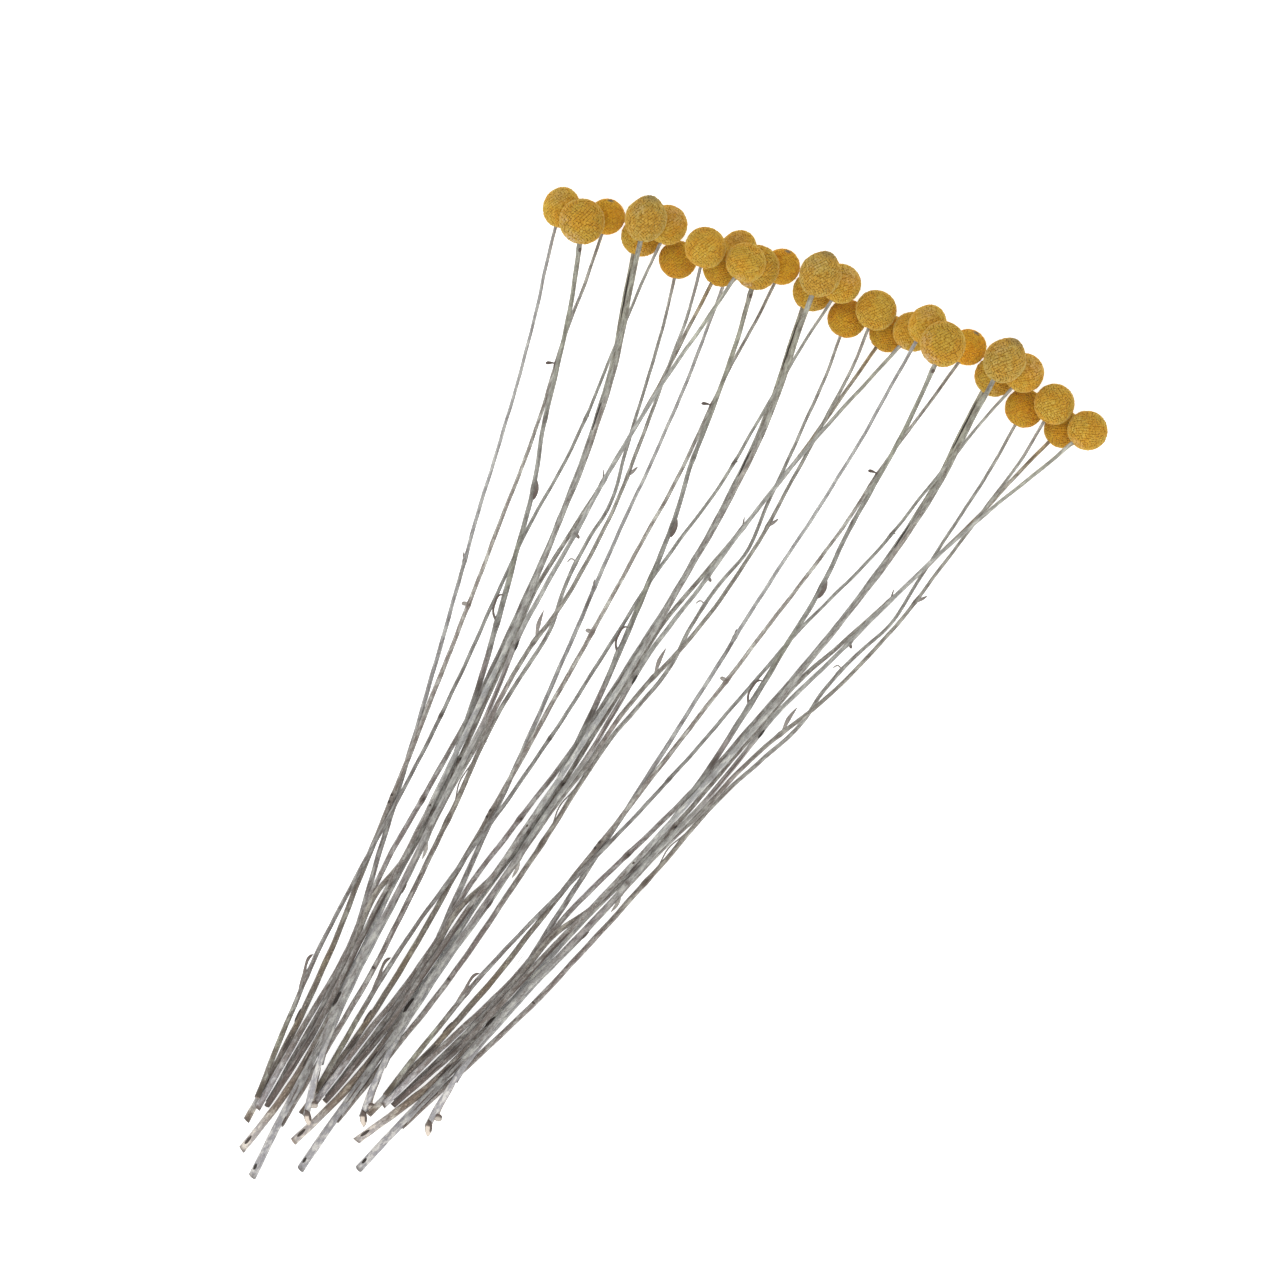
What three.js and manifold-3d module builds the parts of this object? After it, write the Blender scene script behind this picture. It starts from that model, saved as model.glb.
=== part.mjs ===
// Dried billy buttons: three ten-flower sprays fanned out and laid down as one bunch.
// Millimetres, +Z up, flower heads towards +Y, cut feet towards -Y.
import * as THREE from "three";
import Module from "manifold-3d";
import { ConvexHull } from "three/addons/math/ConvexHull.js";

const wasm = await Module();
wasm.setup();

// Driving dimensions
const SPRAY_TURNS = [-7.79, 0, 8.46]; // clockwise turn of each spray about the far meeting point, degrees
const SPRAY_SHIFTS = [[2.0, 0.3], [0, 0], [0.3, 1.5]]; // then its small shift across and along
const MEETING_OFFSET = 109.1; // the meeting point lies this far to the right of the spray line
const STATION_TOP = 700; // first route station above the meeting point
const STATION_STEP = 50; // from one route station down to the next
const GAP = 0.3; // clear space between pieces that lie on each other
const NECK_GAP = 0.4; // clear space between a stem's end and the base of its head
const FLORETS = 58; // florets on one head
const FLORET_RELIEF = 1.1; // depth of the furrows between florets
const FLORET_SCATTER = 0.025; // how much florets differ in height, as a share of the radius
const FLAT_SPOT = 1.4; // height pressed flat under a head that lies on the floor
const STEM_SIDES = 5;
const STEM_STEPS = 20; // straight lengths in one stem
const FINE = 10; // support samples in one straight length
const SHARP_BEND = 10; // a station this close to a sharp bend or the foot is left out of the route
const NECK_MARGIN = 1.5; // and one this close to the neck
const BASE_EDGE = 0.22; // angle from a head's axis to the edge of its flattened base
const SETTLING_ROUNDS = 40; // passes that lift a laid stem clear of its supports
const GOLDEN_ANGLE = Math.PI * (3 - Math.sqrt(5));

// One spray, before it is turned: x across from the spray line, y along from the meeting point.
// size: radius across and radius along the head's axis; neck: where the stem meets the head;
// route: sideways places of the stem at the stations, from the top one down; bends: its places between
// stations, where it turns sharply; thick: stem radii at the neck, at the girths and at the foot.
const FLOWERS = {
  a: {
    head: [-45.3, 715.6],
    size: [10.2, 11.3],
    neck: [-44.3, 703.0],
    route: [-43.9, -35.3, -29.2, -24.6, -18.7, -13.1, -7.8, -2.9, 2.8, 8.7],
    foot: [13.0, 217.8],
    thick: [0.8, 0.85, 1.0, 1.2, 1.5, 2.15],
    colour: 0xb9923a,
  },
  b: {
    head: [-32.4, 712.7],
    size: [12.4, 12.4],
    neck: [-29.3, 703.0],
    route: [-27.8, -17.1, -8.9, 1.0, 7.3, 12.2, 14.4, 6.3, 1.8, -3.2],
    foot: [-7.9, 213.0],
    thick: [1.15, 1.1, 1.4, 1.35, 1.35, 1.45],
    bends: [[2.6, 337], [7.0, 353], [10.6, 364], [12.9, 376], [4.6, 520], [2.2, 540], [-0.1, 560], [-2.7, 575]],
    colour: 0xbc9740,
  },
  c: {
    head: [-21.0, 720.1],
    size: [9.9, 9.9],
    neck: [-19.6, 709.4],
    route: [-18.8, -17.3, -12.7, -11.5, -10.3, -9.6, -8.7, -8.5, -8.0, -10.3],
    foot: [-15.1, 199.2],
    thick: [0.75, 0.9, 1.05, 1.25, 1.45, 1.7],
    colour: 0xc08a33,
  },
  d: {
    head: [0.1, 717.0],
    size: [11.0, 10.9],
    neck: [-0.2, 707.3],
    route: [0.7, 11.4, 16.1, 17.2, 15.5, 13.0, 7.2, 1.1, -0.1, -7.0],
    foot: [-12.0, 207.6],
    thick: [1.1, 1.1, 1.15, 1.25, 1.35, 1.6],
    colour: 0xb38d38,
  },
  e: {
    head: [-1.1, 727.0],
    size: [11.3, 12.9],
    neck: [0.9, 713.7],
    route: [3.2, 13.4, 17.6, 18.0, 17.6, 15.3, 12.2, 8.5, 4.0, -0.3],
    foot: [-7.8, 210.8],
    thick: [1.2, 1.1, 1.2, 1.3, 1.45, 1.45],
    bends: [[-4.4, 230], [5.3, 320], [7.0, 340]],
    colour: 0xa8903f,
  },
  f: {
    head: [11.0, 728.2],
    size: [10.9, 10.9],
    neck: [11.1, 718.0],
    route: [10.0, 9.6, 9.1, 3.5, 1.3, -0.7, -4.4, -9.5, -14.0, -14.9],
    foot: [-14.4, 212.9],
    thick: [0.7, 0.78, 0.9, 0.95, 1.1, 1.5],
    colour: 0xb8933c,
  },
  g: {
    head: [23.1, 713.7],
    size: [10.5, 10.5],
    neck: [24.9, 703.0],
    route: [26.5, 32.1, 37.0, 34.4, 34.7, 26.2, 23.9, 20.8, 16.9, 9.8],
    foot: [3.0, 204.6],
    thick: [0.75, 0.85, 1.0, 1.25, 1.35, 1.35],
    bends: [[39.5, 581], [33.6, 541], [35.0, 512]],
    colour: 0xc28c34,
  },
  h: {
    head: [34.2, 725.0],
    size: [11.1, 11.1],
    neck: [35.8, 714.2],
    route: [38.3, 40.5, 42.0, 40.1, 32.4, 24.5, 18.2, 14.9, 10.3, 8.8],
    foot: [13.5, 213.4],
    thick: [0.75, 0.9, 1.1, 1.2, 1.3, 1.4],
    bends: [[42.2, 582], [36.0, 520], [30.2, 496], [26.8, 481], [25.0, 465]],
    colour: 0xbb953d,
  },
  i: {
    head: [46.4, 717.9],
    size: [10.3, 10.3],
    neck: [44.7, 709.4],
    route: [43.5, 39.6, 33.0, 24.6, 19.2, 17.8, 15.5, 9.9, 7.2, 3.2],
    foot: [-11.4, 183.8],
    thick: [0.9, 0.98, 1.15, 1.2, 1.35, 2.0],
    bends: [[20.3, 526], [-8.5, 195], [-4.0, 210], [-0.5, 225], [1.6, 237]],
    colour: 0xbf8b33,
  },
  j: {
    head: [57.1, 725.3],
    size: [10.9, 10.8],
    neck: [54.9, 715.8],
    route: [51.8, 40.9, 32.8, 27.4, 21.4, 21.3, 17.0, 13.7, 8.8, 5.8],
    foot: [-0.8, 173.0],
    thick: [0.9, 0.95, 1.15, 1.2, 1.4, 2.1],
    bends: [[0.7, 195], [3.4, 225]],
    colour: 0xb7923a,
  },
};
const GIRTHS = [600, 500, 400, 300]; // stations at which stem radii are given

// Small dried bracts left on the stems: the stem they grow from and the station of their root, points
// out to the tip as [across, along, lift above the stem], and the half width in the middle.
const BRACTS = [
  { stem: "c", root: 637.4, path: [[-20.0, 636.1, 0.3], [-21.5, 635.2, 0.5]], half: 0.65 },
  { stem: "b", root: 575.0, path: [[-0.3, 572.0, 0.5], [0.9, 566.0, 0.7]], half: 0.9 },
  { stem: "c", root: 500.2, path: [[-12.5, 499.8, 0.3], [-14.1, 499.2, 0.4]], half: 1.0 },
  { stem: "i", root: 589.0, path: [[30.0, 591.8, 0.5], [29.0, 594.6, 0.8]], half: 0.5 },
  { stem: "h", root: 595.5, path: [[43.9, 599.3, 0.5], [45.5, 603.0, 0.8]], half: 0.8 },
  { stem: "j", root: 557.0, path: [[29.7, 556.2, 0.2], [31.1, 555.2, 0.3]], half: 1.0 },
  { stem: "g", root: 542.6, path: [[31.4, 543.8, 0.4], [29.7, 540.8, 0.7]], half: 0.4 },
  { stem: "h", root: 496.5, path: [[28.4, 504.6, 0.6], [28.1, 513.2, 0.8]], half: 1.05 },
  {
    stem: "b",
    root: 497.0,
    path: [[3.7, 501.0, 1.0], [2.5, 506.0, 1.8], [3.2, 511.3, 2.4], [5.6, 512.0, 3.2]],
    half: 0.6,
  },
  { stem: "h", root: 376.0, path: [[18.5, 370.5, 0.5], [18.7, 364.4, 0.6]], half: 1.0 },
  {
    stem: "f",
    root: 273.0,
    path: [[-15.5, 281.0, 0.6], [-17.3, 288.5, 1.0], [-17.3, 293.0, 1.6], [-15.8, 295.5, 2.4]],
    half: 0.9,
  },
  { stem: "a", root: 220.8, path: [[15.6, 220.6, 0.8], [17.6, 221.8, 1.2]], half: 1.3 },
  { stem: "a", root: 218.6, path: [[14.2, 214.3, 0.4], [17.2, 209.9, 0.3]], half: 1.6 },
];
const BRACT_HALF_THICK = 0.4;
const BRACT_TAPER = 0.85; // width of a long bract beyond its first bend, as a share
const BRACT_LIFTS = [0, 0.8, 1.6, 2.4, 3.4, -0.8]; // how far a bract may be turned up to clear the rest
const BRACT_GAP = 0.25;
const BRACT_CLEARANCE = 0.05; // above the floor

// The middle spray is laid down first and the outer ones over it, each in this order of flowers,
// so that every flower rests on those before it.
const SPRAYS_LAID = [2, 1, 3];
const FLOWERS_LAID = ["a", "c", "d", "g", "i", "f", "h", "b", "j", "e"];

const STEM_COLOUR = 0x8b8779;
const BROWN_STEM_COLOUR = 0x87796a;
const BROWN_STEMS = ["i"];

// A seeded sequence of numbers from 0 to 1
function seeded(seed) {
  let state = seed;
  return () => {
    state = (state + 0x6d2b79f5) | 0;
    let t = Math.imul(state ^ (state >>> 15), 1 | state);
    t = (t + Math.imul(t ^ (t >>> 7), 61 | t)) ^ t;
    return ((t ^ (t >>> 14)) >>> 0) / 4294967296;
  };
}

// A point of one spray in the bunch: the spray is turned clockwise about the meeting point.
function place(spray, x, y) {
  const turn = THREE.MathUtils.degToRad(SPRAY_TURNS[spray - 1]);
  const across = x - MEETING_OFFSET;
  const [shiftX, shiftY] = SPRAY_SHIFTS[spray - 1];
  return [
    across * Math.cos(turn) + y * Math.sin(turn) + shiftX,
    y * Math.cos(turn) - across * Math.sin(turn) + shiftY,
  ];
}

// The sideways place of a stem at any height along the spray: a smooth line through its stations.
function smoothRoute(knots) {
  const slope = knots.map((k, i) => {
    const a = knots[Math.max(0, i - 1)];
    const b = knots[Math.min(knots.length - 1, i + 1)];
    return (b[0] - a[0]) / (b[1] - a[1]);
  });
  return (y) => {
    let i = 0;
    while (i < knots.length - 2 && y > knots[i + 1][1]) i += 1;
    const h = knots[i + 1][1] - knots[i][1];
    const t = (y - knots[i][1]) / h;
    const t2 = t * t;
    const t3 = t2 * t;
    return (
      (2 * t3 - 3 * t2 + 1) * knots[i][0] +
      (t3 - 2 * t2 + t) * h * slope[i] +
      (3 * t2 - 2 * t3) * knots[i + 1][0] +
      (t3 - t2) * h * slope[i + 1]
    );
  };
}

// The distance from a head's middle to the flattened base that its stem meets
function baseDepth(flower) {
  return (flower.size[1] - FLORET_RELIEF) * Math.cos(BASE_EDGE);
}

// The rings of a stem's centre line, from the foot to the neck, before the heights are known
function stemRings(spray, flower) {
  const away = [flower.head[0] - flower.neck[0], flower.head[1] - flower.neck[1]];
  const length = Math.hypot(...away);
  const axis = [away[0] / length, away[1] / length];
  const reach = baseDepth(flower) + NECK_GAP;
  const end = [flower.head[0] - axis[0] * reach, flower.head[1] - axis[1] * reach];
  const knots = [flower.foot];
  for (let i = flower.route.length - 1; i >= 0; i -= 1) {
    const y = STATION_TOP - i * STATION_STEP;
    const nearBend = (flower.bends ?? []).some((bend) => Math.abs(bend[1] - y) < SHARP_BEND);
    const nearEnd = y < flower.foot[1] + SHARP_BEND || y > end[1] - NECK_MARGIN;
    if (!nearBend && !nearEnd) knots.push([flower.route[i], y]);
  }
  knots.push(end, ...(flower.bends ?? []));
  knots.sort((p, q) => p[1] - q[1]);
  const side = smoothRoute(knots);
  const stations = [end[1], ...GIRTHS, flower.foot[1]];
  const girth = smoothRoute(flower.thick.map((radius, i) => [radius, stations[i]]).reverse());
  const rings = [];
  for (let i = 0; i <= STEM_STEPS; i += 1) {
    const t = i / STEM_STEPS;
    const y = flower.foot[1] + (end[1] - flower.foot[1]) * t;
    const x = i === STEM_STEPS ? end[0] : side(y);
    const slope = (side(Math.min(y + 1, end[1])) - side(Math.max(y - 1, flower.foot[1]))) / 2;
    const radius = girth(y);
    const [wx, wy] = place(spray, x, y);
    rings.push({ x, y, wx, wy, r: radius, wide: radius * Math.hypot(1, slope), z: 0 });
  }
  return { rings, axis };
}

// How high a round piece must lie to clear everything laid before it
function clearHeight(laid, wx, wy, r) {
  let low = 0;
  for (const other of laid) {
    const dHead = Math.hypot(wx - other.headX, wy - other.headY);
    const reach = r + other.headR + GAP;
    if (dHead < reach) low = Math.max(low, other.headZ + Math.sqrt(reach * reach - dHead * dHead));
    for (let i = 0; i < other.rings.length - 1; i += 1) {
      const a = other.rings[i];
      const b = other.rings[i + 1];
      const dx = b.wx - a.wx;
      const dy = b.wy - a.wy;
      let t = ((wx - a.wx) * dx + (wy - a.wy) * dy) / (dx * dx + dy * dy);
      t = Math.min(1, Math.max(0, t));
      const d = Math.hypot(wx - a.wx - dx * t, wy - a.wy - dy * t);
      const sum = r + a.r + (b.r - a.r) * t + GAP;
      if (d < sum) low = Math.max(low, a.z + (b.z - a.z) * t + Math.sqrt(sum * sum - d * d));
    }
  }
  return low;
}

// A stem laid over its supports: the tightest line that never sags between them
function layStem(laid, rings, headZ) {
  const floor = Math.cos(Math.PI / STEM_SIDES);
  const samples = [];
  for (let i = 0; i < rings.length - 1; i += 1) {
    for (let k = 0; k < FINE; k += 1) {
      const t = k / FINE;
      const a = rings[i];
      const b = rings[i + 1];
      const r = a.r + (b.r - a.r) * t;
      const wx = a.wx + (b.wx - a.wx) * t;
      const wy = a.wy + (b.wy - a.wy) * t;
      samples.push({ s: i + t, z: Math.max(r * floor, clearHeight(laid, wx, wy, r)) });
    }
  }
  const last = rings[rings.length - 1];
  const top = Math.max(headZ, clearHeight(laid, last.wx, last.wy, last.r));
  samples.push({ s: rings.length - 1, z: top });
  const taut = [];
  for (const p of samples) {
    while (taut.length > 1) {
      const a = taut[taut.length - 2];
      const b = taut[taut.length - 1];
      if ((b.z - a.z) * (p.s - a.s) > (p.z - a.z) * (b.s - a.s)) break;
      taut.pop();
    }
    taut.push(p);
  }
  let k = 0;
  rings.forEach((ring, i) => {
    while (k < taut.length - 2 && i > taut[k + 1].s) k += 1;
    const t = (i - taut[k].s) / (taut[k + 1].s - taut[k].s);
    ring.z = taut[k].z + (taut[k + 1].z - taut[k].z) * t;
  });
  for (let round = 0; round < SETTLING_ROUNDS; round += 1) {
    let worst = 0;
    for (const p of samples) {
      const i = Math.min(rings.length - 2, Math.floor(p.s));
      const t = p.s - i;
      const short = p.z - (rings[i].z * (1 - t) + rings[i + 1].z * t);
      if (short > 1e-4) {
        rings[i].z += short;
        rings[i + 1].z += short;
        worst = Math.max(worst, short);
      }
    }
    if (worst < 1e-3) break;
  }
}

const laid = [];
const flowersLaid = SPRAYS_LAID.flatMap((spray) => FLOWERS_LAID.map((letter) => [spray, letter]));
for (const [spray, letter] of flowersLaid) {
  const flower = FLOWERS[letter];
  const { rings, axis } = stemRings(spray, flower);
  const [headX, headY] = place(spray, ...flower.head);
  const headR = Math.max(...flower.size);
  const onFloor = flower.size[0] - FLAT_SPOT;
  const headZ = Math.max(onFloor, clearHeight(laid, headX, headY, headR));
  layStem(laid, rings, headZ);
  const entry = { key: spray + letter, spray, letter, flower, rings, axis, headX, headY, headR };
  entry.headZ = rings[rings.length - 1].z;
  entry.onFloor = entry.headZ < onFloor + 1e-3;
  laid.push(entry);
}

// A closed solid from corner points and triangles
function solidFrom(points, triangles) {
  return new wasm.Manifold(
    new wasm.Mesh({
      numProp: 3,
      vertProperties: Float32Array.from(points.flat()),
      triVerts: Uint32Array.from(triangles.flat()),
    }),
  );
}

// A head: florets in golden-angle order over an egg-round body, furrows between them
function headSolid(entry) {
  const random = seeded(entry.key.charCodeAt(0) * 131 + entry.key.charCodeAt(1) * 977);
  const { size } = entry.flower;
  const phase = random() * 2 * Math.PI;
  const sites = [];
  for (let i = 0; i < FLORETS; i += 1) {
    const z = i === FLORETS - 1 ? -1 : 1 - (2 * i + 1) / FLORETS;
    const ring = Math.sqrt(Math.max(0, 1 - z * z));
    const angle = phase + i * GOLDEN_ANGLE;
    sites.push(new THREE.Vector3(ring * Math.cos(angle), ring * Math.sin(angle), z));
  }
  const hull = new ConvexHull().setFromPoints(sites);
  const index = new Map(sites.map((p, i) => [p, i]));
  const base = FLORETS - 1;
  const points = sites.map((p, i) => {
    const k = 1 - FLORET_SCATTER * random();
    if (i === base) return [0, 0, -baseDepth(entry.flower)];
    return [p.x * size[0] * k, p.y * size[0] * k, p.z * size[1] * k];
  });
  const triangles = [];
  const corners = new Map();
  hull.faces.forEach((face, f) => {
    const n = face.normal;
    const ids = [];
    let edge = face.edge;
    do {
      ids.push(index.get(edge.head().point));
      edge = edge.next;
    } while (edge !== face.edge);
    const low = [
      n.x * (size[0] - FLORET_RELIEF),
      n.y * (size[0] - FLORET_RELIEF),
      n.z * (size[1] - FLORET_RELIEF),
    ];
    if (ids.includes(base)) low[2] = -baseDepth(entry.flower);
    corners.set(face, points.length);
    points.push(low);
    face.cellIds = ids;
  });
  for (const face of hull.faces) {
    let edge = face.edge;
    do {
      const from = index.get(edge.tail().point);
      const beyond = edge.twin.face;
      triangles.push([from, corners.get(beyond), corners.get(face)]);
      edge = edge.next;
    } while (edge !== face.edge);
  }
  const turn = THREE.MathUtils.degToRad(SPRAY_TURNS[entry.spray - 1]);
  const forward = new THREE.Vector3(
    entry.axis[0] * Math.cos(turn) + entry.axis[1] * Math.sin(turn),
    entry.axis[1] * Math.cos(turn) - entry.axis[0] * Math.sin(turn),
    0,
  ).normalize();
  const turned = new THREE.Quaternion().setFromUnitVectors(new THREE.Vector3(0, 0, 1), forward);
  const world = points.map((p) => {
    const v = new THREE.Vector3(...p).applyQuaternion(turned);
    return [v.x + entry.headX, v.y + entry.headY, v.z + entry.headZ];
  });
  let solid = solidFrom(world, triangles);
  if (solid.volume() < 0) solid = solidFrom(world, triangles.map(([a, b, c]) => [a, c, b]));
  return entry.onFloor ? solid.trimByPlane([0, 0, 1], 0) : solid;
}

// A stem: five-sided rings swept from the foot to the neck
function stemSolid(entry) {
  const points = [];
  const triangles = [];
  for (const ring of entry.rings) {
    for (let s = 0; s < STEM_SIDES; s += 1) {
      const angle = Math.PI / 2 + (2 * Math.PI * s) / STEM_SIDES;
      const [wx, wy] = place(entry.spray, ring.x + ring.wide * Math.cos(angle), ring.y);
      points.push([wx, wy, ring.z + ring.r * Math.sin(angle)]);
    }
  }
  const n = STEM_SIDES;
  for (let i = 0; i < entry.rings.length - 1; i += 1) {
    for (let s = 0; s < n; s += 1) {
      const a = i * n + s;
      const b = i * n + ((s + 1) % n);
      triangles.push([a, b, b + n], [a, b + n, a + n]);
    }
  }
  const end = (entry.rings.length - 1) * n;
  for (let s = 1; s < n - 1; s += 1) {
    triangles.push([0, s + 1, s], [end, end + s, end + s + 1]);
  }
  const solid = solidFrom(points, triangles);
  return solid.volume() < 0 ? solidFrom(points, triangles.map(([a, b, c]) => [a, c, b])) : solid;
}

// The height of a stem's centre line at a place along the spray, and its sideways place
function stemAt(entry, y) {
  const { rings } = entry;
  const span = rings[rings.length - 1].y - rings[0].y;
  const s = Math.min(STEM_STEPS - 1e-6, Math.max(0, ((y - rings[0].y) / span) * STEM_STEPS));
  const i = Math.floor(s);
  const t = s - i;
  return [rings[i].x + (rings[i + 1].x - rings[i].x) * t, rings[i].z + (rings[i + 1].z - rings[i].z) * t];
}

// A bract: a slim pointed leaf that starts inside its stem
function bractSolid(entry, bract, lift) {
  const root = stemAt(entry, bract.root);
  const spine = [new THREE.Vector3(root[0], bract.root, root[1])];
  for (const [x, y, up] of bract.path) {
    spine.push(new THREE.Vector3(x, y, stemAt(entry, y)[1] + up + lift));
  }
  const world = spine.map((p) => {
    const [wx, wy] = place(entry.spray, p.x, p.y);
    return new THREE.Vector3(wx, wy, p.z);
  });
  const points = [world[0].toArray()];
  const triangles = [];
  const count = world.length;
  for (let i = 1; i < count - 1; i += 1) {
    const along = world[i + 1].clone().sub(world[i - 1]).normalize();
    const side = new THREE.Vector3().crossVectors(along, new THREE.Vector3(0, 0, 1)).normalize();
    const up = new THREE.Vector3().crossVectors(side, along).normalize();
    const half = bract.half * (i === 1 ? 1 : BRACT_TAPER);
    points.push(world[i].clone().addScaledVector(side, half).toArray());
    points.push(world[i].clone().addScaledVector(up, BRACT_HALF_THICK).toArray());
    points.push(world[i].clone().addScaledVector(side, -half).toArray());
    points.push(world[i].clone().addScaledVector(up, -BRACT_HALF_THICK).toArray());
  }
  points.push(world[count - 1].toArray());
  const tip = points.length - 1;
  for (let s = 0; s < 4; s += 1) {
    const next = (s + 1) % 4;
    triangles.push([0, 1 + next, 1 + s]);
    for (let i = 0; i < count - 3; i += 1) {
      const a = 1 + i * 4;
      triangles.push([a + s, a + next, a + 4 + next], [a + s, a + 4 + next, a + 4 + s]);
    }
    triangles.push([tip - 4 + s, tip - 4 + next, tip]);
  }
  const solid = solidFrom(points, triangles);
  return solid.volume() < 0 ? solidFrom(points, triangles.map(([a, b, c]) => [a, c, b])) : solid;
}

const heads = new Map(laid.map((entry) => [entry.key, headSolid(entry)]));
const stems = new Map(laid.map((entry) => [entry.key, stemSolid(entry)]));

// Each bract takes the first lift at which it clears every other piece
for (const entry of laid) {
  const others = [...heads.values()];
  for (const [key, solid] of stems) {
    if (key !== entry.key) others.push(solid);
  }
  for (const bract of BRACTS.filter((grown) => grown.stem === entry.letter)) {
    const lift = BRACT_LIFTS.find((tried) => {
      const solid = bractSolid(entry, bract, tried);
      const clear = others.every((other) => solid.minGap(other, 1) > BRACT_GAP);
      return clear && solid.boundingBox().min[2] > BRACT_CLEARANCE;
    });
    if (lift === undefined) throw new Error(`no room for the bract at ${bract.root} on ${entry.key}`);
    stems.set(entry.key, stems.get(entry.key).add(bractSolid(entry, bract, lift)));
  }
}

// The bunch is centred over the origin and stands on z = 0
const bounds = new THREE.Box3();
for (const solid of [...heads.values(), ...stems.values()]) {
  const { min, max } = solid.boundingBox();
  bounds.expandByPoint(new THREE.Vector3(...min));
  bounds.expandByPoint(new THREE.Vector3(...max));
}
const middle = bounds.getCenter(new THREE.Vector3());

function meshOf(name, solid, colour, roughness) {
  const mesh = solid.getMesh();
  const n = mesh.numProp;
  const positions = new Float32Array(mesh.numVert * 3);
  for (let i = 0; i < mesh.numVert; i += 1) {
    positions[i * 3] = mesh.vertProperties[i * n] - middle.x;
    positions[i * 3 + 1] = mesh.vertProperties[i * n + 1] - middle.y;
    positions[i * 3 + 2] = mesh.vertProperties[i * n + 2] - bounds.min.z;
  }
  const geometry = new THREE.BufferGeometry();
  geometry.setAttribute("position", new THREE.BufferAttribute(positions, 3));
  geometry.setIndex(new THREE.BufferAttribute(Uint32Array.from(mesh.triVerts), 1));
  geometry.computeVertexNormals();
  const material = new THREE.MeshStandardMaterial({ color: colour, roughness, metalness: 0 });
  const made = new THREE.Mesh(geometry, material);
  made.name = name;
  return made;
}

const bunch = new THREE.Group();
bunch.name = "dried_billy_buttons";
for (let spray = 1; spray <= SPRAY_TURNS.length; spray += 1) {
  for (const letter of Object.keys(FLOWERS)) {
    const key = spray + letter;
    const stemColour = BROWN_STEMS.includes(letter) ? BROWN_STEM_COLOUR : STEM_COLOUR;
    bunch.add(meshOf("stem_" + key, stems.get(key), stemColour, 0.9));
    bunch.add(meshOf("head_" + key, heads.get(key), FLOWERS[letter].colour, 0.95));
  }
}

export default bunch;
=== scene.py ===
import math
import random

import bmesh
import bpy
import numpy as np
from mathutils import Matrix, Vector


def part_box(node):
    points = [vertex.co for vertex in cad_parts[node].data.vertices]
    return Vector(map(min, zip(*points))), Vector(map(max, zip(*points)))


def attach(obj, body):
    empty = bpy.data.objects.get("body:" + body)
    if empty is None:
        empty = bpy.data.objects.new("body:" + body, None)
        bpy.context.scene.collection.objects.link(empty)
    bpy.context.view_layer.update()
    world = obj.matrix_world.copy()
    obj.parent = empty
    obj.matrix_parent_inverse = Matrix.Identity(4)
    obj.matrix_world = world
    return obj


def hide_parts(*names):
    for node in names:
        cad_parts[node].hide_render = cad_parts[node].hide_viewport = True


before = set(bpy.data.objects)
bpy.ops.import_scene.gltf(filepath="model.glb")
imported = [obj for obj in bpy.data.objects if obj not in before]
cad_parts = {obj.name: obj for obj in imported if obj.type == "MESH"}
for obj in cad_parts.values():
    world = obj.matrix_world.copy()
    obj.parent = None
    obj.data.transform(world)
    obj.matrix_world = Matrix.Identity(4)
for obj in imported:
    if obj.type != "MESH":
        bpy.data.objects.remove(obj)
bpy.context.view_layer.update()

# Woolly stems: thirty thin stems, each grown in one piece, ribbed lengthwise and felted with grey wool that
# is worn off lower down, where the mauve-brown bark shows. They swell at the scars of fallen leaves, and
# shears cut them off at the foot. Three sprays of ten lie fanned out over each other, tied by nothing.

MM = 0.001
SPRAYS = {  # clockwise turn about the far meeting point in degrees, then a small shift across and along, mm
    "1": (-7.79, 2.0, 0.3),
    "2": (0.0, 0.0, 0.0),
    "3": (8.46, 0.3, 1.5),
}
MEETING_POINT = (95.855, -452.86)  # where the lines of the three sprays meet, beyond the cut feet, mm
LETTERS = "abcdefghij"
SOLID_SIDES = 5  # corners in one ring of a stem's solid
SOLID_RING = 0.012  # corners this close together along the spray, in mm, belong to one ring
RIBS = 7  # round a stem
RIB_DEPTH = 0.1  # as a share of the stem's radius
STEM_LENGTHS = 210  # short lengths in one stem
FELT_DEPTH = 0.15  # how far the felt stands out from the stem, mm
WAVES = 9  # waves of uneven growth along a stem
WAVE_DEPTH = 0.012  # depth of each wave, as a share of the radius
WAVE_TURNS = 9  # turns of the slowest wave along a stem, at most
WAVE_QUICKENS = 1.6  # how many times quicker each of the four after it is
SWAYS = [(0.09, 61, 1), (0.06, 143, 2)]  # how far a stem sways from its line in mm, how quickly, how twisted
INTO_HEAD = 1.6  # how far a stem's end runs into its head, mm
CUT_SLANT = 0.3  # how far the cut end of a stem leans, as a share of its radius
CUT_BROWN = 1.2  # how far the brown of the cut runs up the stem, mm
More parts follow.
